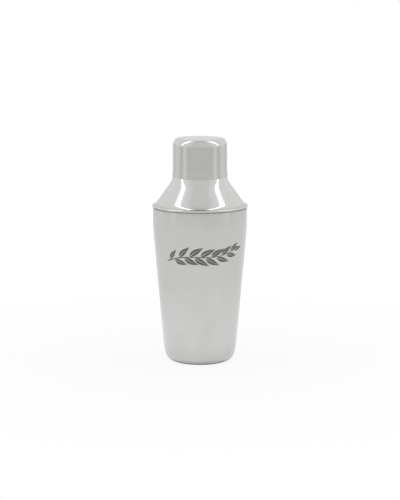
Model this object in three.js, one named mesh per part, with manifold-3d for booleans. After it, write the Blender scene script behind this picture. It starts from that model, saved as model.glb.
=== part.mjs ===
// Three-piece cocktail shaker in polished stainless sheet: a tapered cup, a lid that plugs
// into its mouth (sloping shoulder, neck and perforated strainer) and a cap over the neck.
// Millimetres, +Z up, origin at the centre of the base. Every piece is turned about Z.
import * as THREE from "three";
import { mergeVertices } from "three/addons/utils/BufferGeometryUtils.js";
import Module from "manifold-3d";

// Driving dimensions of the cup
const CUP_HEIGHT = 120.9; // base to rim
const MOUTH_DIAMETER = 73.2; // outside, at the rim
const CUP_WALL = 0.8;
const MOUTH_STRAIGHT = 15; // rim to the corner where the wall starts to taper
const WALL_TAPER_DEG = 5; // from the vertical
const TAPER_BLEND_RADIUS = 160; // eases the straight mouth into the taper
const HEEL_HEIGHT = 8.9; // base to the corner where the wall turns in
const HEEL_ANGLE_DEG = 16.8; // slope of the turned-in heel, from the vertical
const HEEL_BLEND_RADIUS = 38;
const BASE_CORNER_RADIUS = 7.2;
const FOOT_RING_WIDTH = 4; // flat ring that the shaker stands on
const BASE_RECESS_DEPTH = 1; // how far the middle of the base is pushed up
const RECESS_STEP_WIDTH = 1.6;
const RECESS_STEP_RADIUS = 1.2;

// Driving dimensions of the lid: shoulder, neck and skirt are one pressing
const LID_WALL = 0.5;
const BEAD_FOLD = 0.9; // space inside the bead rolled round the foot of the shoulder
const BEAD_OVERHANG = 0.75; // bead past the cup's mouth
const BEAD_TOP_RADIUS = 1.3; // rounding of the bead's upper edge
const BEAD_UNDER_RADIUS = 0.7; // tighter bend at the bead's lower edge
const BRIM_WIDTH = 2.8; // bead's edge to the foot of the cone
const BRIM_DROP = 0.9; // foot of the cone down to the bead
const BRIM_FILLET_RADIUS = 5;
const SHOULDER_HEIGHT = 20.2; // foot of the cone to the corner where the neck rises
const NECK_FLARE_RADIUS = 16; // eases the neck into the cone and carries the cap's lip
const NECK_CORNER_RADIUS = 2.2;
const NECK_LIP_WIDTH = 3.6; // lip turned in over the strainer
const NECK_HEADROOM = 2.4; // top of the neck to where the cap's corner starts to turn in
const SKIRT_DEPTH = 16; // bead to the lower edge, inside the cup's mouth
const SKIRT_LEAD = 0.3; // how far the skirt's lower edge leans in from the cup's wall
const SKIRT_FILLET_RADIUS = 0.5;

// Driving dimensions of the strainer set into the neck
const STRAINER_WALL = 0.6;
const STRAINER_FLANGE = 2.5; // turned-down edge against the neck
const STRAINER_CORNER_RADIUS = 1.2;
const STRAINER_DOME = 1.5; // rise of the perforated middle
const HOLE_DIAMETER = 2.6;
const HOLE_WEB = 1.9; // metal between two rings of holes
const FIRST_RING_HOLES = 6; // each further ring has this many more
const HOLE_MARGIN = 1.2; // least metal between a hole and the lip of the neck

// Driving dimensions of the cap
const CAP_DIAMETER = 42.2; // outside, above the lip
const CAP_HEIGHT = 29.9;
const CAP_WALL = 0.6;
const CAP_CORNER_RADIUS = 5.1;
const CAP_CROWN = 0.1; // rise of the top's middle
const CAP_LIP_FLARE = 0.5; // the lower edge stands out by this much
const CAP_LIP_HEIGHT = 6;
const CAP_LIP_RADIUS = 30;

// Clearances between pieces
const FIT_CLEARANCE = 0.3; // radial: skirt in cup, cap on neck, strainer in neck
const SEAT_GAP = 0.3; // bead over rim, cap's lip over the flare, strainer under the neck's lip

// Facets
const TURN_SEGMENTS = 44; // round the axis
const CHORD_ERROR = 0.08; // how far a rounded corner's chords may lie from its arc
const CROWN_STEPS = 3; // along a shallow dome
const EDGE_STEPS = 4; // round a trimmed sheet edge
const HOLE_SIDES = 10;
const SAME_POINT = 1e-6; // points closer than this are one

// Places that the pieces share
const mouthRadius = MOUTH_DIAMETER / 2;
const mouthInside = mouthRadius - CUP_WALL;
const taperTopZ = CUP_HEIGHT - MOUTH_STRAIGHT;
const beadHeight = BEAD_FOLD + 2 * LID_WALL;
const beadRadius = mouthRadius + BEAD_OVERHANG;
const beadZ = CUP_HEIGHT + SEAT_GAP;
const beadTopZ = beadZ + beadHeight;
const footRadius = beadRadius - BRIM_WIDTH;
const footZ = beadTopZ + BRIM_DROP;
const flareZ = footZ + SHOULDER_HEIGHT;
const capRadius = CAP_DIAMETER / 2;
const lipRadius = capRadius + CAP_LIP_FLARE;
const neckRadius = capRadius - CAP_WALL - FIT_CLEARANCE;
const capZ = capSeatZ();
const capTopZ = capZ + CAP_HEIGHT;
const capCornerZ = capTopZ - CAP_CROWN - CAP_CORNER_RADIUS;
const neckTopZ = capCornerZ - NECK_HEADROOM;
const neckInside = neckRadius - LID_WALL;
const lipOpening = neckRadius - NECK_LIP_WIDTH;

const tan = (degrees) => Math.tan(THREE.MathUtils.degToRad(degrees));

// Height of the cap's lower edge, whose half-round stops the seat gap short of the neck's flare.
// The flare is an arc that curves away from the neck, about a centre outside the lid.
function capSeatZ() {
  const coneAngle = Math.atan2(footRadius - neckRadius, SHOULDER_HEIGHT);
  const centreZ = flareZ + NECK_FLARE_RADIUS * Math.tan(coneAngle / 2);
  const edgeRadius = CAP_WALL / 2;
  const apart = NECK_FLARE_RADIUS - SEAT_GAP - edgeRadius;
  const across = neckRadius + NECK_FLARE_RADIUS - (lipRadius - edgeRadius);
  const below = Math.sqrt(Math.max(0, apart * apart - across * across));
  return centreZ - below - edgeRadius;
}

// A polyline through corners [radius, z, fillet], with each corner's fillet drawn as an arc.
// A fillet that its two sides are too short for is limited to what they hold.
function rounded(corners) {
  const points = corners.map(([r, z]) => new THREE.Vector2(r, z));
  const turn = points.map((p, i) => {
    if (i === 0 || i === points.length - 1) return null;
    const back = points[i - 1].clone().sub(p).normalize();
    const ahead = points[i + 1].clone().sub(p).normalize();
    const bend = Math.PI - Math.acos(THREE.MathUtils.clamp(back.dot(ahead), -1, 1));
    return { back, ahead, bend, reach: (corners[i][2] ?? 0) * Math.tan(bend / 2) };
  });
  for (let i = 1; i < points.length; i++) {
    const ends = [turn[i - 1], turn[i]].filter(Boolean);
    const wanted = ends.reduce((sum, end) => sum + end.reach, 0);
    const room = points[i].distanceTo(points[i - 1]);
    if (wanted > room) ends.forEach((end) => (end.reach *= room / wanted));
  }
  const path = points.flatMap((p, i) => (turn[i]?.reach > 0 ? filletArc(p, turn[i]) : [p]));
  return path.filter((p, i) => i === 0 || p.distanceTo(path[i - 1]) > SAME_POINT);
}

// The arc that rounds a corner: reach is the distance from the corner to each tangent point.
function filletArc(corner, { back, ahead, bend, reach }) {
  const radius = reach / Math.tan(bend / 2);
  const toCentre = back.clone().add(ahead).normalize();
  const centre = corner.clone().addScaledVector(toCentre, radius / Math.cos(bend / 2));
  const start = corner.clone().addScaledVector(back, reach).sub(centre);
  const side = Math.sign(back.cross(ahead)) || 1;
  const widestStep = 2 * Math.acos(Math.max(0, 1 - CHORD_ERROR / radius));
  const steps = Math.ceil(bend / widestStep);
  return Array.from({ length: steps + 1 }, (_, i) => {
    const swing = (-side * bend * i) / steps;
    return start.clone().rotateAround(new THREE.Vector2(), swing).add(centre);
  });
}

// Corners of a sheet's other face, to the right of the direction of travel. A fillet is smaller
// there by the wall where the sheet bends to the right, down to a sharp corner, and else larger.
function otherFace(corners, wall) {
  const points = corners.map(([r, z]) => new THREE.Vector2(r, z));
  const rightOf = (a, b) => {
    const d = b.clone().sub(a).normalize();
    return new THREE.Vector2(d.y, -d.x);
  };
  return points.map((p, i) => {
    const before = i > 0 ? rightOf(points[i - 1], p) : null;
    const after = i < points.length - 1 ? rightOf(p, points[i + 1]) : null;
    const a = before ?? after;
    const b = after ?? before;
    const mitre = a.clone().add(b).normalize();
    const moved = p.clone().addScaledVector(mitre, wall / mitre.dot(a));
    const change = a.cross(b) < 0 ? -wall : wall;
    const fillet = corners[i][2] ? Math.max(0, corners[i][2] + change) : 0;
    return [p.x === 0 ? 0 : moved.x, moved.y, fillet];
  });
}

// The half-round of a trimmed sheet edge, between the sheet's two faces.
function edgeRound(from, to) {
  const centre = from.clone().add(to).multiplyScalar(0.5);
  return Array.from({ length: EDGE_STEPS - 1 }, (_, i) => {
    const swing = (-Math.PI * (i + 1)) / EDGE_STEPS;
    return from.clone().rotateAround(centre, swing);
  });
}

// Section of a pressed sheet whose outer face runs through corners, with rounded free edges.
// The sheet's thickness lies to the right of the direction of travel.
function sheetSection(corners, wall) {
  const outer = rounded(corners);
  const inner = rounded(otherFace(corners, wall)).reverse();
  const onAxis = (p) => p.x === 0;
  const first = outer[0];
  const last = outer[outer.length - 1];
  const outline = [...outer];
  if (!onAxis(last)) outline.push(...edgeRound(last, inner[0]));
  outline.push(...inner);
  if (!onAxis(first)) outline.push(...edgeRound(inner[inner.length - 1], first), first.clone());
  return outline;
}

// A section in (radius, z) revolved about Z. The sections run clockwise, and the lathe faces
// outwards for the other way round.
function turned(section) {
  const geometry = new THREE.LatheGeometry([...section].reverse(), TURN_SEGMENTS);
  return geometry.rotateX(Math.PI / 2);
}

// A shallow dome from the axis out to a radius, as corners without fillets.
function domeCorners(topZ, rise, radius) {
  return Array.from({ length: CROWN_STEPS }, (_, i) => {
    const share = i / CROWN_STEPS;
    return [radius * share, topZ - rise * share * share];
  });
}

// Cup: pushed-up base, foot ring, rounded heel, tapered wall and a straight mouth.
function cupGeometry() {
  const heelRadius = mouthRadius - (taperTopZ - HEEL_HEIGHT) * tan(WALL_TAPER_DEG);
  const baseRadius = heelRadius - HEEL_HEIGHT * tan(HEEL_ANGLE_DEG);
  const cornerReach = BASE_CORNER_RADIUS * tan((90 - HEEL_ANGLE_DEG) / 2);
  const ringInside = baseRadius - cornerReach - FOOT_RING_WIDTH;
  const corners = [
    [mouthRadius, CUP_HEIGHT - CUP_WALL / 2],
    [mouthRadius, taperTopZ, TAPER_BLEND_RADIUS],
    [heelRadius, HEEL_HEIGHT, HEEL_BLEND_RADIUS],
    [baseRadius, 0, BASE_CORNER_RADIUS],
    [ringInside, 0, RECESS_STEP_RADIUS],
    [ringInside - RECESS_STEP_WIDTH, BASE_RECESS_DEPTH, RECESS_STEP_RADIUS],
    [0, BASE_RECESS_DEPTH],
  ];
  return turned(sheetSection(corners, CUP_WALL));
}

// Shoulder: neck with its turned-in lip, flare, cone, sloping brim, rolled bead and skirt.
function shoulderGeometry() {
  const skirtRadius = mouthInside - FIT_CLEARANCE;
  const skirtBottomZ = beadZ - SKIRT_DEPTH;
  const wallLean = Math.max(0, taperTopZ - skirtBottomZ) * tan(WALL_TAPER_DEG);
  const corners = [
    [lipOpening + LID_WALL / 2, neckTopZ],
    [neckRadius, neckTopZ, NECK_CORNER_RADIUS],
    [neckRadius, flareZ, NECK_FLARE_RADIUS],
    [footRadius, footZ, BRIM_FILLET_RADIUS],
    [beadRadius, beadTopZ, BEAD_TOP_RADIUS],
    [beadRadius, beadZ, BEAD_UNDER_RADIUS],
    [skirtRadius, beadZ, SKIRT_FILLET_RADIUS],
    [skirtRadius - wallLean - SKIRT_LEAD, skirtBottomZ + LID_WALL / 2],
  ];
  return turned(sheetSection(corners, LID_WALL));
}

// Cap: crowned top, rounded corner, straight wall and a lower edge that flares to a lip.
function capGeometry() {
  const cornerStart = capRadius - CAP_CORNER_RADIUS;
  const corners = [
    ...domeCorners(capTopZ, CAP_CROWN, cornerStart),
    [cornerStart, capTopZ - CAP_CROWN],
    [capRadius, capTopZ - CAP_CROWN, CAP_CORNER_RADIUS],
    [capRadius, capZ + CAP_LIP_HEIGHT, CAP_LIP_RADIUS],
    [lipRadius, capZ + CAP_WALL / 2],
  ];
  return turned(sheetSection(corners, CAP_WALL));
}

// Centres of the strainer's holes: one in the middle and rings of six, twelve and so on.
function holeCentres(openRadius) {
  const reach = openRadius - HOLE_MARGIN - HOLE_DIAMETER / 2;
  const pitch = HOLE_DIAMETER + HOLE_WEB;
  const centres = [new THREE.Vector2(0, 0)];
  for (let ring = 1; ring * pitch <= reach; ring++) {
    const count = FIRST_RING_HOLES * ring;
    for (let i = 0; i < count; i++) {
      const angle = (2 * Math.PI * i) / count;
      centres.push(new THREE.Vector2(ring * pitch, 0).rotateAround(centres[0], angle));
    }
  }
  return centres;
}

// Strainer: domed disc under the neck's lip, with a turned-down flange and punched holes.
function strainerGeometry(wasm) {
  const seatZ = neckTopZ - LID_WALL - SEAT_GAP;
  const outerRadius = neckInside - FIT_CLEARANCE;
  const corners = [
    ...domeCorners(seatZ + STRAINER_DOME, STRAINER_DOME, lipOpening),
    [lipOpening, seatZ],
    [outerRadius, seatZ, STRAINER_CORNER_RADIUS],
    [outerRadius, seatZ - STRAINER_FLANGE + STRAINER_WALL / 2],
  ];
  const drillLength = 2 * (STRAINER_DOME + STRAINER_WALL + STRAINER_FLANGE);
  const drill = new THREE.CylinderGeometry(HOLE_DIAMETER / 2, HOLE_DIAMETER / 2, drillLength, HOLE_SIDES);
  drill.rotateX(Math.PI / 2);
  let plate = toSolid(wasm, turned(sheetSection(corners, STRAINER_WALL)));
  for (const centre of holeCentres(lipOpening)) {
    const hole = drill.clone().translate(centre.x, centre.y, seatZ);
    plate = plate.subtract(toSolid(wasm, hole));
  }
  return toGeometry(plate);
}

// A closed geometry as a solid for cutting.
function toSolid(wasm, geometry) {
  const bare = geometry.clone();
  bare.deleteAttribute("normal");
  bare.deleteAttribute("uv");
  const merged = mergeVertices(bare);
  return new wasm.Manifold(
    new wasm.Mesh({
      numProp: 3,
      vertProperties: merged.attributes.position.array,
      triVerts: new Uint32Array(merged.index.array),
    }),
  );
}

// A cut solid as a geometry.
function toGeometry(solid) {
  const mesh = solid.getMesh();
  const geometry = new THREE.BufferGeometry();
  geometry.setAttribute("position", new THREE.BufferAttribute(mesh.vertProperties, 3));
  geometry.setIndex(new THREE.BufferAttribute(mesh.triVerts, 1));
  geometry.computeVertexNormals();
  return geometry;
}

// Polished stainless steel; the strainer keeps a duller, pressed finish.
function steel(color, roughness) {
  return new THREE.MeshStandardMaterial({ color, roughness, metalness: 1 });
}

function piece(name, geometry, material) {
  const mesh = new THREE.Mesh(geometry, material);
  mesh.name = name;
  return mesh;
}

const wasm = await Module();
wasm.setup();

const shaker = new THREE.Group();
shaker.name = "cocktail_shaker";
shaker.add(
  piece("cup", cupGeometry(), steel(0xc8c8c6, 0.22)),
  piece("shoulder", shoulderGeometry(), steel(0xcdcdcb, 0.12)),
  piece("strainer", strainerGeometry(wasm), steel(0xc0c0be, 0.3)),
  piece("cap", capGeometry(), steel(0xc6c6c5, 0.12)),
);

export default shaker;
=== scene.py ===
"""A polished three-piece cocktail shaker on a white studio floor.

Lengths are in metres and +Z is up. The camera stands on the -Y side.
"""
import math

import bmesh
import bpy
from mathutils import Matrix, Vector


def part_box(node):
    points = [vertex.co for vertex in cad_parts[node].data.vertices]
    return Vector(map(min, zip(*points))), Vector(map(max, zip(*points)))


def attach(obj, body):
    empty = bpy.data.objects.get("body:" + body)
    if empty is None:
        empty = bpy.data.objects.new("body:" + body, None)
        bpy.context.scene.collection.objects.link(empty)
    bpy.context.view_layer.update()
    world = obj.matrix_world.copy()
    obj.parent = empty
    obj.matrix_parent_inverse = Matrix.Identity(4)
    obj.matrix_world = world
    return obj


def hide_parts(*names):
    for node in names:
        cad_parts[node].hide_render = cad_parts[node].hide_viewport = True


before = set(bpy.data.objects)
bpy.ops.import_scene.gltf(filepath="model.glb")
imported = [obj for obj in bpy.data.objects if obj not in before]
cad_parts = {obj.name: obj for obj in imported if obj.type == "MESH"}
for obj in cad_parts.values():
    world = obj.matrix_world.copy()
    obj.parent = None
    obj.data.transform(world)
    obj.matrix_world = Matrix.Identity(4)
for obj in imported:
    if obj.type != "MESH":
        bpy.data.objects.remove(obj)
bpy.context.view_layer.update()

MM = 0.001
FRONT = Vector((0, -1, 0))
UP = Vector((0, 0, 1))
WHITE = (1, 1, 1, 1)

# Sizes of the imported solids
_, cup_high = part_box("cup")
lid_low, lid_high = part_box("shoulder")
strainer_low, strainer_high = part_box("strainer")
cap_low, cap_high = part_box("cap")

# Cup
CUP_WALL = 0.8 * MM
MOUTH_STRAIGHT = 15 * MM
WALL_TAPER = math.radians(5)
TAPER_BLEND_RADIUS = 160 * MM
HEEL_HEIGHT = 9.8 * MM
HEEL_ANGLE = math.radians(16.8)
HEEL_BLEND_RADIUS = 37.5 * MM
BASE_CORNER_RADIUS = 7.85 * MM
FOOT_RING_WIDTH = 4 * MM
BASE_RECESS_DEPTH = 1 * MM
RECESS_STEP_WIDTH = 1.6 * MM
RECESS_STEP_RADIUS = 1.2 * MM

mouth_radius = cup_high.x
taper_top = cup_high.z - MOUTH_STRAIGHT
heel_radius = mouth_radius - (taper_top - HEEL_HEIGHT) * math.tan(WALL_TAPER)
base_radius = heel_radius - HEEL_HEIGHT * math.tan(HEEL_ANGLE)
base_corner_reach = BASE_CORNER_RADIUS * math.tan((math.pi / 2 - HEEL_ANGLE) / 2)
ring_inside = base_radius - base_corner_reach - FOOT_RING_WIDTH

# Lid
LID_WALL = 0.5 * MM
BEAD_HEIGHT = 1.4 * MM
BEAD_TOP_RADIUS = 1 * MM
BEAD_UNDER_RADIUS = 0.65 * MM
BRIM_WIDTH = 2.8 * MM
BRIM_DROP = 0.9 * MM
BRIM_FILLET_RADIUS = 6.4 * MM
SHOULDER_HEIGHT = 20.2 * MM
NECK_FLARE_RADIUS = 19 * MM
NECK_CORNER_RADIUS = 2.2 * MM
NECK_LIP_WIDTH = 3.6 * MM
SKIRT_LEAD = 0.36 * MM
SKIRT_FILLET_RADIUS = 0.5 * MM
FIT_CLEARANCE = 0.3 * MM
SEAT_GAP = 0.8 * MM

bead_radius = lid_high.x
bead_bottom = cup_high.z + SEAT_GAP
bead_top = bead_bottom + BEAD_HEIGHT
foot_height = bead_top + BRIM_DROP
flare_height = foot_height + SHOULDER_HEIGHT
neck_top = lid_high.z
skirt_radius = mouth_radius - CUP_WALL - FIT_CLEARANCE

# Cap
CAP_WALL = 0.6 * MM
CAP_EDGE_RADIUS = 2.2 * MM
CAP_SIDE_RADIUS = 6.4 * MM
CAP_CORNER_SLANT = math.radians(48)
CAP_CROWN = 0.1 * MM
CAP_LIP_FLARE = 0.5 * MM
CAP_LIP_HEIGHT = 6 * MM
CAP_LIP_RADIUS = 30 * MM
CAP_RIM_BEVEL = 0.15 * MM

cap_foot = cap_low.z
lip_radius = cap_high.x
cap_radius = lip_radius - CAP_LIP_FLARE
neck_radius = cap_radius - CAP_WALL - FIT_CLEARANCE
lip_opening = neck_radius - NECK_LIP_WIDTH

# Strainer
STRAINER_WALL = 0.6 * MM
STRAINER_FLANGE = 2.5 * MM
STRAINER_CORNER_RADIUS = 1.2 * MM
HOLE_RADIUS = 1.3 * MM
HOLE_PITCH = 4.5 * MM
HOLE_RINGS = 3
FIRST_RING_HOLES = 6
HOLE_SIDES = 24
HOLE_EDGE = 0.1 * MM
FLANGE_WELD = 0.01 * MM

strainer_seat = strainer_low.z + STRAINER_FLANGE
strainer_radius = strainer_high.x
strainer_dome = strainer_high.z - strainer_seat

# Fineness of the meshes
TURN_STEPS = 192
ARC_STEP = math.radians(5)
LEAST_ARC_STEPS = 3
RUN_STEP = 3 * MM
WELD = 0.0005 * MM
RIM_ANGLE = math.radians(60)
RIM_SHARE = 0.42
RIM_STEPS = 4


# Pressed sheet

def long_runs(bm):
    """Edges of a drawn section that are still to be cut in half."""
    return [edge for edge in bm.edges if edge.calc_length() > RUN_STEP]


def draw_section(bm, corners):
    """Draw straight runs and true arcs through corners given as (radius, height, fillet)."""
    points = [Vector((radius, 0, height)) for radius, height, _ in corners]
    end = bm.verts.new(points[0])
    for index in range(1, len(points) - 1):
        corner = points[index]
        fillet = corners[index][2]
        back = (points[index - 1] - corner).normalized()
        ahead = (points[index + 1] - corner).normalized()
        bend = math.pi - back.angle(ahead)
        reach = fillet * math.tan(bend / 2)
        centre = corner + (back + ahead).normalized() * fillet / math.cos(bend / 2)
        start = bm.verts.new(corner + back * reach)
        bm.edges.new((end, start))
        arc = bmesh.ops.spin(
            bm, geom=[start], cent=centre, axis=ahead.cross(back).normalized(),
            angle=bend, steps=max(LEAST_ARC_STEPS, math.ceil(bend / ARC_STEP)),
        )
        end = arc["geom_last"][0]
    bm.edges.new((end, bm.verts.new(points[-1])))
    bmesh.ops.remove_doubles(bm, verts=bm.verts[:], dist=WELD)
    while long_runs(bm):
        bmesh.ops.subdivide_edges(bm, edges=long_runs(bm), cuts=1)


def turn(bm):
    """Turn everything drawn so far once round the upright axis."""
    drawn = bm.verts[:] + bm.edges[:]
    bmesh.ops.spin(
        bm, geom=drawn, cent=(0, 0, 0), axis=UP, angle=2 * math.pi, steps=TURN_STEPS, use_merge=True,
    )
    bmesh.ops.remove_doubles(bm, verts=bm.verts[:], dist=WELD)


def thicken(bm, wall, rim):
    """Give the sheet its wall, mark the inner side as the second finish and round the cut rims."""
    bmesh.ops.recalc_face_normals(bm, faces=bm.faces[:])
    made = bmesh.ops.solidify(bm, geom=bm.faces[:], thickness=wall)
    for face in made["geom"]:
        if isinstance(face, bmesh.types.BMFace):
            face.material_index = 1
    sharp = [edge for edge in bm.edges if edge.calc_face_angle(0) > RIM_ANGLE]
    bmesh.ops.bevel(
        bm, geom=sharp, offset=rim, offset_type="OFFSET", segments=RIM_STEPS, profile=0.5,
        affect="EDGES", material=-1,
    )


def make_piece(name, bm, body, finishes):
    """Turn a finished bmesh into a smooth piece that rides on a body."""
    mesh = bpy.data.meshes.new(name)
    bm.to_mesh(mesh)
    bm.free()
    mesh.shade_smooth()
    for finish in finishes:
        mesh.materials.append(finish)
    piece = bpy.data.objects.new(name, mesh)
    bpy.context.collection.objects.link(piece)
    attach(piece, body)
    return piece


def press_cup():
    """The cup, from its mouth down over the heel to the recessed base."""
    bm = bmesh.new()
    draw_section(bm, [
        (mouth_radius, cup_high.z, 0),
        (mouth_radius, taper_top, TAPER_BLEND_RADIUS),
        (heel_radius, HEEL_HEIGHT, HEEL_BLEND_RADIUS),
        (base_radius, 0, BASE_CORNER_RADIUS),
        (ring_inside, 0, RECESS_STEP_RADIUS),
        (ring_inside - RECESS_STEP_WIDTH, BASE_RECESS_DEPTH, RECESS_STEP_RADIUS),
        (0, BASE_RECESS_DEPTH, 0),
    ])
    turn(bm)
    thicken(bm, CUP_WALL, RIM_SHARE * CUP_WALL)
    return bm


def press_shoulder():
    """The lid's sheet, from the neck's lip down over the cone, brim and bead to the skirt."""
    bm = bmesh.new()
    draw_section(bm, [
        (lip_opening, neck_top, 0),
        (neck_radius, neck_top, NECK_CORNER_RADIUS),
        (neck_radius, flare_height, NECK_FLARE_RADIUS),
        (bead_radius - BRIM_WIDTH, foot_height, BRIM_FILLET_RADIUS),
        (bead_radius, bead_top, BEAD_TOP_RADIUS),
        (bead_radius, bead_bottom, BEAD_UNDER_RADIUS),
        (skirt_radius, bead_bottom, SKIRT_FILLET_RADIUS),
        (skirt_radius - SKIRT_LEAD, lid_low.z, 0),
    ])
    turn(bm)
    thicken(bm, LID_WALL, RIM_SHARE * LID_WALL)
    return bm


def press_cap():
    """The cap, with a tight edge round its crown that runs into a slacker curve down the side."""
    bm = bmesh.new()
    edge_reach = CAP_EDGE_RADIUS * math.tan((math.pi / 2 - CAP_CORNER_SLANT) / 2)
    side_reach = CAP_SIDE_RADIUS * math.tan(CAP_CORNER_SLANT / 2)
    slant = edge_reach + side_reach
    edge_radius = cap_radius - slant * math.sin(CAP_CORNER_SLANT)
    crown_reach = (edge_radius - edge_reach) / 2
    crown_slope = CAP_CROWN / crown_reach
    crown_radius = crown_reach / math.tan(math.atan(crown_slope) / 2)
    edge_height = cap_high.z - (edge_radius - crown_reach) * crown_slope
    draw_section(bm, [
        (0, cap_high.z, 0),
        (crown_reach, cap_high.z, crown_radius),
        (edge_radius, edge_height, CAP_EDGE_RADIUS),
        (cap_radius, edge_height - slant * math.cos(CAP_CORNER_SLANT), CAP_SIDE_RADIUS),
        (cap_radius, cap_foot + CAP_LIP_HEIGHT, CAP_LIP_RADIUS),
        (lip_radius, cap_foot, 0),
    ])
    turn(bm)
    thicken(bm, CAP_WALL, CAP_RIM_BEVEL)
    return bm


# Strainer

def dome_height(radius):
    """Height of the strainer's dome, a shallow ball's cap, at a distance from the axis."""
    ball = (lip_opening ** 2 + strainer_dome ** 2) / (2 * strainer_dome)
    return strainer_seat + strainer_dome - ball + math.sqrt(ball ** 2 - radius ** 2)


def draw_circle(bm, radius, sides, centre=(0, 0, 0)):
    """Draw a flat ring of edges and return them."""
    made = bmesh.ops.create_circle(
        bm, cap_ends=False, segments=sides, radius=radius, matrix=Matrix.Translation(centre),
    )
    return list({edge for vert in made["verts"] for edge in vert.link_edges})


def punch_plate():
    """The domed plate: rings of holes, each ring filled between fences half a pitch away."""
    bm = bmesh.new()
    inner_fence = []
    for ring in range(HOLE_RINGS + 1):
        fence = draw_circle(bm, HOLE_PITCH * (ring + 0.5), TURN_STEPS)
        edges = inner_fence + fence
        count = max(1, FIRST_RING_HOLES * ring)
        for hole in range(count):
            angle = 2 * math.pi * hole / count
            spot = (HOLE_PITCH * ring * math.cos(angle), HOLE_PITCH * ring * math.sin(angle), 0)
            edges += draw_circle(bm, HOLE_RADIUS, HOLE_SIDES, spot)
        bmesh.ops.triangle_fill(bm, use_beauty=True, edges=edges)
        inner_fence = fence
    for vert in bm.verts:
        vert.co.z = dome_height(vert.co.xy.length)
    return bm


def punch_strainer():
    """The plate with its flange, which turns down inside the neck."""
    bm = punch_plate()
    plate_edge = HOLE_PITCH * (HOLE_RINGS + 0.5)
    flange = bmesh.new()
    draw_section(flange, [
        (plate_edge, dome_height(plate_edge), 0),
        (lip_opening, strainer_seat, 0),
        (strainer_radius, strainer_seat, STRAINER_CORNER_RADIUS),
        (strainer_radius, strainer_low.z, 0),
    ])
    turn(flange)
    joined = bpy.data.meshes.new("strainer_flange")
    flange.to_mesh(joined)
    flange.free()
    bm.from_mesh(joined)
    bpy.data.meshes.remove(joined)
    bmesh.ops.remove_doubles(bm, verts=bm.verts[:], dist=FLANGE_WELD)
    thicken(bm, STRAINER_WALL, HOLE_EDGE)
    return bm


# Etched sprig on the front of the cup

SPRIG_HEIGHT = 87 * MM
SPRIG_REACH = 28 * MM
SPRIG_RISE = 4 * MM
SPRIG_SWAY = 1.6 * MM
SPRIG_LEAVES = 13
STEM_WIDTH = 0.9 * MM
STEM_THINNING = 0.6
STEM_STEPS = 56
STEM_STRIDE = 0.01
STEM_BEFORE_LEAVES = 0.6
STEM_AFTER_LEAVES = 0.3
LEAF_LENGTH = 12.5 * MM
LEAST_LEAF = 0.72
LONGEST_LEAF_SKEW = 0.8
LEAF_SLIMNESS = 0.16
LEAF_SWELL_SKEW = 0.75
LEAF_SPREAD = math.radians(44)
LEAF_CLOSING = 0.3
LEAF_CURL = 0.16
LEAF_STALK = 0.9 * MM
LEAF_VEIN = 0.5 * MM
LEAF_STEPS = 14
ETCH_PROUD = 0.02 * MM
ETCH_THICKNESS = 0.06 * MM


def cup_radius(height):
    """Radius of the cup's straight tapering wall at a height."""
    return mouth_radius - (taper_top - height) * math.tan(WALL_TAPER)


def draw_strip(bm, steps, shape):
    """Draw a flat strip whose points come from shape(along, across), both from 0 to 1."""
    made = bmesh.ops.create_grid(bm, x_segments=steps, y_segments=1, size=0.5)["verts"]
    for vert in made:
        vert.co.xy = shape(vert.co.x + 0.5, vert.co.y + 0.5)
    bmesh.ops.remove_doubles(bm, verts=made, dist=WELD)


def draw_leaf(bm, foot, heading, length, side):
    """Draw a leaf in two halves with a bare vein between them, curling back towards the stem."""
    turned = Matrix.Rotation(heading, 2)
    for half in (-1, 1):
        def outline(along, across):
            swell = math.sin(math.pi * along ** LEAF_SWELL_SKEW)
            vein = LEAF_VEIN / 2 * (1 - along)
            out = half * (vein + across * LEAF_SLIMNESS * length * swell)
            curl = -side * LEAF_CURL * length * along ** 2
            return foot + turned @ Vector((LEAF_STALK + along * length, out + curl))
        draw_strip(bm, LEAF_STEPS, outline)


def stem_spot(along):
    """Place on the stem, which sways as it rises from left to right."""
    across = 2 * along - 1
    sway = SPRIG_SWAY * math.sin(2 * math.pi * along)
    return Vector((SPRIG_REACH * across, SPRIG_RISE * across + sway))


def stem_heading(along):
    """Direction of the stem at a place on it."""
    ahead = stem_spot(along + STEM_STRIDE) - stem_spot(along - STEM_STRIDE)
    return math.atan2(ahead.y, ahead.x)


def wrap_on_cup(bm, height):
    """Lay a flat drawing on the front of the cup and sink it a hair into the wall."""
    for vert in bm.verts:
        across, up, _ = vert.co
        level = height + up
        radius = cup_radius(level) + ETCH_PROUD
        angle = across / cup_radius(height)
        vert.co = (radius * math.sin(angle), -radius * math.cos(angle), level)
    bm.normal_update()
    inward = [face for face in bm.faces if face.normal.xy.dot(face.calc_center_median().xy) < 0]
    bmesh.ops.reverse_faces(bm, faces=inward)
    bmesh.ops.solidify(bm, geom=bm.faces[:], thickness=ETCH_THICKNESS)


def etch_sprig():
    """A leafy twig with its leaves set left and right by turns."""
    bm = bmesh.new()

    def stem(along, across):
        width = STEM_WIDTH * (1 - STEM_THINNING * along)
        return stem_spot(along) + Vector((0, (across - 0.5) * width))

    draw_strip(bm, STEM_STEPS, stem)
    for step in range(SPRIG_LEAVES):
        side = -1 if step % 2 else 1
        along = (step + STEM_BEFORE_LEAVES) / (SPRIG_LEAVES + STEM_AFTER_LEAVES)
        fullness = math.sin(math.pi * along ** LONGEST_LEAF_SKEW)
        length = LEAF_LENGTH * (LEAST_LEAF + (1 - LEAST_LEAF) * fullness)
        heading = stem_heading(along) + side * LEAF_SPREAD * (1 - LEAF_CLOSING * along)
        draw_leaf(bm, stem_spot(along), heading, length, side)
    draw_leaf(bm, stem_spot(1), stem_heading(1), LEAST_LEAF * LEAF_LENGTH, 1)
    wrap_on_cup(bm, SPRIG_HEIGHT)
    return bm


# Shader building

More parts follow.
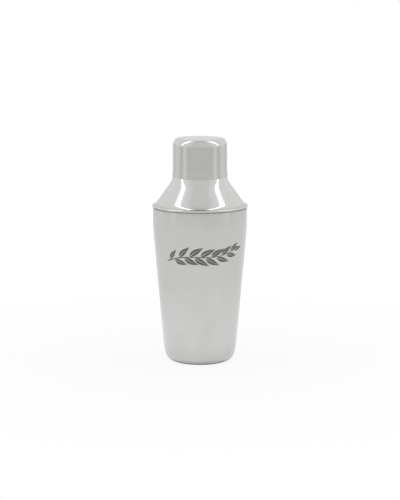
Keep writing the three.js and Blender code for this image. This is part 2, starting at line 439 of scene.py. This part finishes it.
def add_node(tree, kind, inputs=None, **settings):
    """Add a node, set its options and fill or link its inputs."""
    made = tree.nodes.new(kind)
    for option, value in settings.items():
        setattr(made, option, value)
    for socket, value in (inputs or {}).items():
        if isinstance(value, bpy.types.NodeSocket):
            tree.links.new(value, made.inputs[socket])
        else:
            made.inputs[socket].default_value = value
    return made


def calculate(tree, operation, first, second=0.0):
    """One step of arithmetic, as a socket."""
    return add_node(tree, "ShaderNodeMath", {0: first, 1: second}, operation=operation).outputs[0]


def vector_step(tree, operation, inputs):
    """One step of arithmetic on places or directions, as the node's outputs."""
    return add_node(tree, "ShaderNodeVectorMath", inputs, operation=operation).outputs


def remap(tree, value, low, high, to_low=0.0, to_high=1.0):
    """Stretch a range of values to another, held at both ends."""
    ends = {"Value": value, "From Min": low, "From Max": high, "To Min": to_low, "To Max": to_high}
    return add_node(tree, "ShaderNodeMapRange", ends).outputs["Result"]


def blend(tree, share, first, second, kind="FLOAT"):
    """Go from a first number or colour to a second one by a share, as a socket."""
    ends = {"Factor": share, "A": first, "B": second}
    return add_node(tree, "ShaderNodeMix", ends, data_type=kind).outputs["Result"]


def add_noise(tree, inputs, **settings):
    """Cloudy noise from 0 to 1, as a socket."""
    return add_node(tree, "ShaderNodeTexNoise", inputs, **settings).outputs["Fac"]


def add_ramp(tree, value, stops):
    """A ramp of greys through (position, grey) stops."""
    made = add_node(tree, "ShaderNodeValToRGB", {0: value})
    elements = made.color_ramp.elements
    while len(elements) < len(stops):
        elements.new(1.0)
    for element, (position, grey) in zip(elements, stops):
        element.position = position
        element.color = (grey, grey, grey, 1)
    return made.outputs["Color"]


def object_place(tree):
    """Place on a piece, in the frame that all pieces share."""
    return add_node(tree, "ShaderNodeTexCoord").outputs["Object"]


# Effects that the steel finishes share

GRAIN_NOISE_ROUGHNESS = 0.65
HAZE_NOISE_ROUGHNESS = 0.55
HAZE_NOISE_DISTORTION = 0.6
HAZE_RANGE = (0.4, 0.68)
MOTTLE_FINENESS = 7.0
MOTTLE_RANGE = (0.3, 0.7)
MOTTLE_LEAST = 0.6
SCRATCH_TILT = 6 * MM
SCRATCH_STREAK = 9.0
SCRATCH_EDGE = 0.05
WEAR_PATCHES = 240.0
WEAR_RANGE = (0.35, 0.6)


def start_group(name, inputs, output):
    """Start a node group with named number inputs and one number output."""
    tree = bpy.data.node_groups.new(name, "ShaderNodeTree")
    for label, value in inputs.items():
        tree.interface.new_socket(label, in_out="INPUT", socket_type="NodeSocketFloat")
        tree.interface.items_tree[label].default_value = value
    tree.interface.new_socket(output, in_out="OUTPUT", socket_type="NodeSocketFloat")
    return tree, tree.nodes.new("NodeGroupInput").outputs, tree.nodes.new("NodeGroupOutput").inputs


def round_coordinates(tree):
    """Direction from the axis, distance from the axis and height, with no seam anywhere."""
    apart = add_node(tree, "ShaderNodeSeparateXYZ", {0: object_place(tree)}).outputs
    flat = add_node(tree, "ShaderNodeCombineXYZ", {"X": apart["X"], "Y": apart["Y"]}).outputs[0]
    spoke = vector_step(tree, "NORMALIZE", {0: flat})["Vector"]
    distance = vector_step(tree, "LENGTH", {0: flat})["Value"]
    return spoke, distance, apart["Z"]


def round_spot(tree, spoke, streak, level):
    """Place in a noise that varies by a streak round the piece and by a level up it."""
    around = vector_step(tree, "SCALE", {0: spoke, "Scale": streak})["Vector"]
    upright = add_node(tree, "ShaderNodeCombineXYZ", {"Z": level}).outputs[0]
    return vector_step(tree, "ADD", {0: around, 1: upright})["Vector"]


def spun_grain():
    """Fine lines that run round the piece, as left by polishing on a wheel."""
    tree, given, out = start_group("spun_grain", {"Lines": 900.0, "Streak": 4.0}, "Grain")
    spoke, distance, height = round_coordinates(tree)
    level = calculate(tree, "MULTIPLY", height, given["Lines"])
    grain = add_noise(tree, {
        "Vector": round_spot(tree, spoke, given["Streak"], level),
        "W": calculate(tree, "MULTIPLY", distance, given["Lines"]),
        "Scale": 1.0, "Detail": 3.0, "Roughness": GRAIN_NOISE_ROUGHNESS,
    }, noise_dimensions="4D")
    tree.links.new(grain, out["Grain"])
    return tree


def handling_haze():
    """Soft patches where hands and cloths have left a faint bloom."""
    tree, given, out = start_group("handling_haze", {"Patches": 30.0}, "Haze")
    place = object_place(tree)
    broad = add_noise(tree, {
        "Vector": place, "Scale": given["Patches"],
        "Detail": 4.0, "Roughness": HAZE_NOISE_ROUGHNESS, "Distortion": HAZE_NOISE_DISTORTION,
    })
    finer = calculate(tree, "MULTIPLY", given["Patches"], MOTTLE_FINENESS)
    fine = add_noise(tree, {"Vector": place, "Scale": finer, "Detail": 3.0})
    patches = remap(tree, broad, *HAZE_RANGE)
    mottles = remap(tree, fine, *MOTTLE_RANGE, MOTTLE_LEAST, 1.0)
    tree.links.new(calculate(tree, "MULTIPLY", patches, mottles), out["Haze"])
    return tree


def hairline_scratches():
    """Sparse thin scratches that run nearly level, as from setting down and wiping."""
    inputs = {"Fineness": 2200.0, "Rarity": 0.66}
    tree, given, out = start_group("hairline_scratches", inputs, "Scratches")
    spoke, distance, height = round_coordinates(tree)
    sideways = add_node(tree, "ShaderNodeSeparateXYZ", {0: spoke}).outputs["X"]
    tilt = calculate(tree, "MULTIPLY", sideways, SCRATCH_TILT)
    tilted = calculate(tree, "ADD", calculate(tree, "ADD", height, distance), tilt)
    level = calculate(tree, "MULTIPLY", tilted, given["Fineness"])
    spot = round_spot(tree, spoke, SCRATCH_STREAK, level)
    noise = add_noise(tree, {"Vector": spot, "Scale": 1.0, "Detail": 1.0})
    full = calculate(tree, "ADD", given["Rarity"], SCRATCH_EDGE)
    tree.links.new(remap(tree, noise, given["Rarity"], full), out["Scratches"])
    return tree


def rim_wear():
    """A broken band of fine wear where a rim at one height is rubbed."""
    tree, given, out = start_group("rim_wear", {"Rim": 0.0, "Reach": 0.9 * MM}, "Wear")
    place = object_place(tree)
    height = add_node(tree, "ShaderNodeSeparateXYZ", {0: place}).outputs["Z"]
    apart = calculate(tree, "ABSOLUTE", calculate(tree, "SUBTRACT", height, given["Rim"]))
    near = calculate(tree, "SUBTRACT", 1.0, remap(tree, apart, 0.0, given["Reach"]))
    noise = add_noise(tree, {"Vector": place, "Scale": WEAR_PATCHES, "Detail": 3.0})
    broken = remap(tree, noise, *WEAR_RANGE)
    tree.links.new(calculate(tree, "MULTIPLY", near, broken), out["Wear"])
    return tree


SPUN_GRAIN = spun_grain()
HANDLING_HAZE = handling_haze()
HAIRLINE_SCRATCHES = hairline_scratches()
RIM_WEAR = rim_wear()


# Finishes

CLEAN_STEEL = (0.62, 0.62, 0.61, 1)
BLOOMED_STEEL = (0.585, 0.582, 0.57, 1)
DULL_STEEL = (0.56, 0.56, 0.55, 1)
STAINED_STEEL = (0.5, 0.495, 0.48, 1)
# painted light: the inside steel is coloured lighter than the outside steel, to lift the shaded hollows
SATIN_STEEL_PAINTED_LIGHT = (0.76, 0.76, 0.75, 1)
WORN_SATIN_PAINTED_LIGHT = (0.68, 0.678, 0.665, 1)
GRAIN_RANGE = (0.25, 0.75)
GRAIN_SPREAD = 0.2
SCRATCH_DULLING = 0.1
WEAR_DULLING = 0.06
SCRATCH_RELIEF = 0.6

ETCH_DARK = (0.105, 0.104, 0.102, 1)
ETCH_PALE = (0.2, 0.198, 0.194, 1)
ETCH_LINES = 900.0
ETCH_WAVER = 0.6
ETCH_MOTTLES = 700.0
ETCH_LINE_SHARE = 0.4
ETCH_DEPTH_RANGE = (0.2, 0.8)
ETCH_ROUGHNESS = (0.5, 0.68)
ETCH_BUMP = 0.6
ETCH_RELIEF = 0.01 * MM
ETCH_METAL = 0.5


def place_group(tree, group, **values):
    """Place a shared effect in a material and return its output."""
    made = add_node(tree, "ShaderNodeGroup", node_tree=group)
    for label, value in values.items():
        made.inputs[label].default_value = value
    return made.outputs[0]


def start_finish(name):
    """Start a material and return it with its tree and its shader."""
    finish = bpy.data.materials.new(name)
    finish.use_nodes = True
    tree = finish.node_tree
    return finish, tree, tree.nodes["Principled BSDF"]


def add_relief(tree, shader, height, strength, distance):
    """Give a shader fine relief from a height."""
    values = {"Height": height, "Strength": strength, "Distance": distance}
    bump = add_node(tree, "ShaderNodeBump", values)
    tree.links.new(bump.outputs["Normal"], shader.inputs["Normal"])


def steel_finish(name, clean, bloomed, polish, haze, lines, grain_depth, rim):
    """Polished or satin steel: colour bloom, grain, scratches and a worn rim."""
    finish, tree, shader = start_finish(name)
    grain = place_group(tree, SPUN_GRAIN, Lines=lines)
    bloom = place_group(tree, HANDLING_HAZE)
    scratches = place_group(tree, HAIRLINE_SCRATCHES)
    wear = place_group(tree, RIM_WEAR, Rim=rim)
    tree.links.new(blend(tree, bloom, clean, bloomed, "RGBA"), shader.inputs["Base Color"])
    smoothest = polish * (1 - GRAIN_SPREAD)
    dullest = polish * (1 + GRAIN_SPREAD)
    rough = remap(tree, grain, *GRAIN_RANGE, smoothest, dullest)
    for mask, dulling in ((bloom, haze), (scratches, SCRATCH_DULLING), (wear, WEAR_DULLING)):
        rough = calculate(tree, "ADD", rough, calculate(tree, "MULTIPLY", mask, dulling))
    tree.links.new(rough, shader.inputs["Roughness"])
    cuts = calculate(tree, "MULTIPLY", scratches, SCRATCH_RELIEF)
    add_relief(tree, shader, calculate(tree, "SUBTRACT", grain, cuts), 1.0, grain_depth)
    shader.inputs["Metallic"].default_value = 1.0
    return finish


def etched_finish():
    """Steel darkened by etching, with the fine level lines of the marking pass."""
    finish, tree, shader = start_finish("etched_mark")
    place = object_place(tree)
    passes = add_node(tree, "ShaderNodeTexWave", {
        "Vector": place, "Scale": ETCH_LINES, "Distortion": ETCH_WAVER, "Detail": 2.0,
    }, wave_type="BANDS", bands_direction="Z").outputs["Fac"]
    mottles = add_noise(tree, {"Vector": place, "Scale": ETCH_MOTTLES, "Detail": 4.0})
    lined = calculate(tree, "MULTIPLY", passes, ETCH_LINE_SHARE)
    mottled = calculate(tree, "MULTIPLY", mottles, 1 - ETCH_LINE_SHARE)
    depth = calculate(tree, "ADD", lined, mottled)
    tree.links.new(blend(tree, depth, ETCH_DARK, ETCH_PALE, "RGBA"), shader.inputs["Base Color"])
    rough = remap(tree, depth, *ETCH_DEPTH_RANGE, *ETCH_ROUGHNESS)
    tree.links.new(rough, shader.inputs["Roughness"])
    add_relief(tree, shader, depth, ETCH_BUMP, ETCH_RELIEF)
    shader.inputs["Metallic"].default_value = ETCH_METAL
    return finish


cup_finish = steel_finish(
    "cup_polish", CLEAN_STEEL, BLOOMED_STEEL,
    polish=0.2, haze=0.06, lines=1400.0, grain_depth=0.002 * MM, rim=cup_high.z,
)
lid_finish = steel_finish(
    "lid_polish", CLEAN_STEEL, BLOOMED_STEEL,
    polish=0.11, haze=0.04, lines=1800.0, grain_depth=0.001 * MM, rim=bead_bottom + BEAD_HEIGHT / 2,
)
cap_finish = steel_finish(
    "cap_polish", CLEAN_STEEL, BLOOMED_STEEL,
    polish=0.06, haze=0.04, lines=1800.0, grain_depth=0.001 * MM, rim=cap_foot,
)
strainer_finish = steel_finish(
    "strainer_pressed", DULL_STEEL, STAINED_STEEL,
    polish=0.26, haze=0.1, lines=1200.0, grain_depth=0.004 * MM, rim=strainer_low.z,
)
# painted light: lighter steel colours inside stand in for light in the shaded hollows
inside_finish = steel_finish(
    "satin_inside_painted_light", SATIN_STEEL_PAINTED_LIGHT, WORN_SATIN_PAINTED_LIGHT,
    polish=0.44, haze=0.1, lines=800.0, grain_depth=0.008 * MM, rim=cup_high.z,
)
etch_finish = etched_finish()

# Pieces

cup = make_piece("cup_shell", press_cup(), "cup", [cup_finish, inside_finish])
shoulder = make_piece(
    "shoulder_shell", press_shoulder(), "lid", [lid_finish, inside_finish])
strainer = make_piece(
    "strainer_plate", punch_strainer(), "lid", [strainer_finish, inside_finish])
cap = make_piece("cap_shell", press_cap(), "cap", [cap_finish, inside_finish])
make_piece("etched_sprig", etch_sprig(), "cup", [etch_finish])

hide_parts("cup")
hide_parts("shoulder")
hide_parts("strainer")
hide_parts("cap")

# Floor, with distances from the axis, and its mirror image as (distance, grey), where the greys are
# painted shade: a painted soft shadow near the foot and darker again far out

FLOOR_RADIUS = 1.25
FLOOR_FADE = 0.75
FLOOR_SEEN_FROM = 0.05
FLOOR_SEEN_TO = 0.3
FLOOR_PAINT = (0.97, 0.97, 0.97, 1)
FLOOR_GLOW = 0.86
SHADOW_SEEN = (0.0185, 0.0215)
SHADOW_MIRRORED = (0.022, 0.029)
# painted shade: greys that dim the mirrored floor, a painted soft shadow near the foot and darker far
# out
MIRRORED_FLOOR_PAINTED_SHADE = ((0.035, 0.91), (0.065, 1.0), (0.13, 1.0), (0.27, 0.91))


def white_floor():
    """White paint that glows where it is seen or mirrored, but not in the shadow near the foot. Its
    mirror image is dimmed as painted shade: a painted soft shadow near the foot, and darker again far
    out.
    """
    finish = bpy.data.materials.new("floor_white")
    finish.use_nodes = True
    tree = finish.node_tree
    tree.nodes.clear()
    distance = vector_step(tree, "LENGTH", {0: object_place(tree)})["Value"]
    path = add_node(tree, "ShaderNodeLightPath").outputs
    seen = path["Is Camera Ray"]
    shown = calculate(tree, "MAXIMUM", seen, path["Is Glossy Ray"])
    paint = add_node(tree, "ShaderNodeBsdfDiffuse", {"Color": FLOOR_PAINT})
    share = calculate(tree, "DIVIDE", distance, FLOOR_RADIUS)
    # painted shade: rays that mirror the floor see its glow dimmed near the foot as a painted shadow
    mirrored_painted_shade = add_ramp(tree, share, [(reach / FLOOR_RADIUS, grey) for reach, grey in MIRRORED_FLOOR_PAINTED_SHADE])
    strength = blend(tree, seen, mirrored_painted_shade, 1.0)
    white = add_node(tree, "ShaderNodeEmission", {"Color": WHITE, "Strength": strength})
    glow_mirrored = remap(tree, distance, *SHADOW_MIRRORED, 0.0, FLOOR_GLOW)
    glow_seen = remap(tree, distance, *SHADOW_SEEN, 0.0, FLOOR_GLOW)
    glow = calculate(tree, "MULTIPLY", shown, blend(tree, seen, glow_mirrored, glow_seen))
    lit = add_node(tree, "ShaderNodeMixShader", {0: glow, 1: paint.outputs[0], 2: white.outputs[0]})
    clear = add_node(tree, "ShaderNodeBsdfTransparent")
    gone_mirrored = remap(tree, distance, FLOOR_FADE, FLOOR_RADIUS)
    gone_seen = remap(tree, distance, FLOOR_SEEN_FROM, FLOOR_SEEN_TO)
    gone = blend(tree, seen, gone_mirrored, gone_seen)
    faded = add_node(tree, "ShaderNodeMixShader", {0: gone, 1: lit.outputs[0], 2: clear.outputs[0]})
    add_node(tree, "ShaderNodeOutputMaterial", {"Surface": faded.outputs[0]})
    return finish


def lay_floor():
    """A white round floor that fades out into the background and keeps a faint shadow."""
    bm = bmesh.new()
    bmesh.ops.create_circle(bm, cap_ends=True, segments=TURN_STEPS, radius=FLOOR_RADIUS)
    mesh = bpy.data.meshes.new("floor")
    bm.to_mesh(mesh)
    bm.free()
    mesh.materials.append(white_floor())
    floor = bpy.data.objects.new("floor", mesh)
    bpy.context.collection.objects.link(floor)


lay_floor()

# White tent, with panels given as (degrees round from the front, grey)

TENT_LIGHT = 0.72
WALL_TOP = 0.02
SKY_FOOT = 0.1
ZENITH_FROM = 0.9
ZENITH_TO = 0.97
ZENITH_GREY = (0.76, 0.76, 0.76, 1)
HALF_TURN = 180.0
WALL_PANELS = (
    (0, 0.74), (58, 0.74), (61, 0.92), (74, 0.92), (77, 0.73), (93, 0.73),
    (97, 0.88), (126, 0.88), (130, 0.76), (146, 0.76), (152, 0.82),
)
SKY_PANELS = (
    (0, 0.85), (35, 0.85), (62, 0.99), (140, 1.0), (160, 0.82),
)


def hang_tent():
    """A white tent: plain light on the object, and grey wall panels for the polish to mirror."""
    world = bpy.data.worlds.new("white_tent")
    bpy.context.scene.world = world
    world.use_nodes = True
    tree = world.node_tree
    tree.nodes.clear()
    heading = add_node(tree, "ShaderNodeTexCoord").outputs["Generated"]
    apart = add_node(tree, "ShaderNodeSeparateXYZ", {0: heading}).outputs
    sideways = calculate(tree, "ABSOLUTE", apart["X"])
    forward = calculate(tree, "MULTIPLY", apart["Y"], -1.0)
    turned = calculate(tree, "DIVIDE", calculate(tree, "ARCTAN2", sideways, forward), math.pi)
    walls = add_ramp(tree, turned, [(angle / HALF_TURN, grey) for angle, grey in WALL_PANELS])
    sky = add_ramp(tree, turned, [(angle / HALF_TURN, grey) for angle, grey in SKY_PANELS])
    overhead = remap(tree, apart["Z"], ZENITH_FROM, ZENITH_TO)
    roofed = blend(tree, overhead, sky, ZENITH_GREY, "RGBA")
    above_walls = remap(tree, apart["Z"], WALL_TOP, SKY_FOOT)
    mirrored = blend(tree, above_walls, walls, roofed, "RGBA")
    path = add_node(tree, "ShaderNodeLightPath").outputs
    pictured = blend(tree, path["Is Camera Ray"], mirrored, WHITE, "RGBA")
    shown = calculate(tree, "MAXIMUM", path["Is Glossy Ray"], path["Is Transmission Ray"])
    shown = calculate(tree, "MAXIMUM", shown, path["Is Camera Ray"])
    picture = add_node(tree, "ShaderNodeBackground", {"Color": pictured, "Strength": 1.0})
    light = add_node(tree, "ShaderNodeBackground", {"Color": WHITE, "Strength": TENT_LIGHT})
    both = add_node(tree, "ShaderNodeMixShader", {0: shown, 1: light.outputs[0], 2: picture.outputs[0]})
    add_node(tree, "ShaderNodeOutputWorld", {"Surface": both.outputs[0]})


hang_tent()

# Strip lamps on both sides, with ends given as (degrees round from the front, degrees up)

STRIP_BRIGHTNESS = 2.1
FOOT_BRIGHTNESS = 1.5
STRIP_AIM = Vector((0, 0, 0.14))
STRIP_DISTANCE = 0.95
UPRIGHT_FOOT = (84, 14)
UPRIGHT_MIDDLE = (82, 34)
UPRIGHT_HEAD = (83, 58)
UPRIGHT_WIDTH = 0.14
FOOT_WIDTH = 0.1
OVERHEAD_NEAR = (86, 60)
OVERHEAD_MIDDLE = (122, 70)
OVERHEAD_FAR = (164, 69)
OVERHEAD_WIDTH = 0.09
STRIPS = (
    ("foot", UPRIGHT_FOOT, UPRIGHT_MIDDLE, FOOT_WIDTH, FOOT_BRIGHTNESS),
    ("upright", UPRIGHT_MIDDLE, UPRIGHT_HEAD, UPRIGHT_WIDTH, STRIP_BRIGHTNESS),
    ("overhead_near", OVERHEAD_NEAR, OVERHEAD_MIDDLE, OVERHEAD_WIDTH, STRIP_BRIGHTNESS),
    ("overhead_far", OVERHEAD_MIDDLE, OVERHEAD_FAR, OVERHEAD_WIDTH, STRIP_BRIGHTNESS),
)


def lamp_spot(side, place):
    """A strip's end on one side, as seen from the shoulder that the strips aim at."""
    around, rise = (math.radians(angle) for angle in place)
    level = math.cos(rise)
    heading = Vector((side * level * math.sin(around), -level * math.cos(around), math.sin(rise)))
    return STRIP_AIM + STRIP_DISTANCE * heading


def hang_strip(name, start, end, width, brightness):
    """A soft strip lamp from one point to another that faces the shoulder."""
    along = (end - start).normalized()
    spot = (start + end) / 2
    back = spot - STRIP_AIM
    back = (back - along * back.dot(along)).normalized()
    lamp = bpy.data.lights.new(name, "AREA")
    lamp.shape = "RECTANGLE"
    lamp.size = (end - start).length
    lamp.size_y = width
    lamp.energy = math.pi * lamp.size * lamp.size_y * brightness
    hung = bpy.data.objects.new(name, lamp)
    bpy.context.collection.objects.link(hung)
    turned = Matrix((along, back.cross(along), back)).transposed().to_4x4()
    hung.matrix_world = Matrix.Translation(spot) @ turned
    hung.visible_camera = False


for label, side in (("left", -1), ("right", 1)):
    for name, start, end, width, brightness in STRIPS:
        ends = lamp_spot(side, start), lamp_spot(side, end)
        hang_strip(f"{name}_{label}", *ends, width, brightness)

# Camera

CAMERA_DISTANCE = 1.5
CAMERA_RISE = math.radians(9.25)
CAMERA_AIM = Vector((0, 0, 0.08721))
CAMERA_LENS = 138.24
CAMERA_FILM = 36.0


def set_camera():
    """A long lens in front of the shaker that looks slightly down on it."""
    camera = bpy.data.cameras.new("camera")
    camera.sensor_fit = "VERTICAL"
    camera.sensor_height = CAMERA_FILM
    camera.lens = CAMERA_LENS
    stand = bpy.data.objects.new("camera", camera)
    bpy.context.collection.objects.link(stand)
    back = FRONT * math.cos(CAMERA_RISE) + UP * math.sin(CAMERA_RISE)
    stand.location = CAMERA_AIM + back * CAMERA_DISTANCE
    stand.rotation_euler = back.to_track_quat("Z", "Y").to_euler()
    bpy.context.scene.camera = stand


set_camera()
bpy.context.scene.view_settings.view_transform = "Standard"
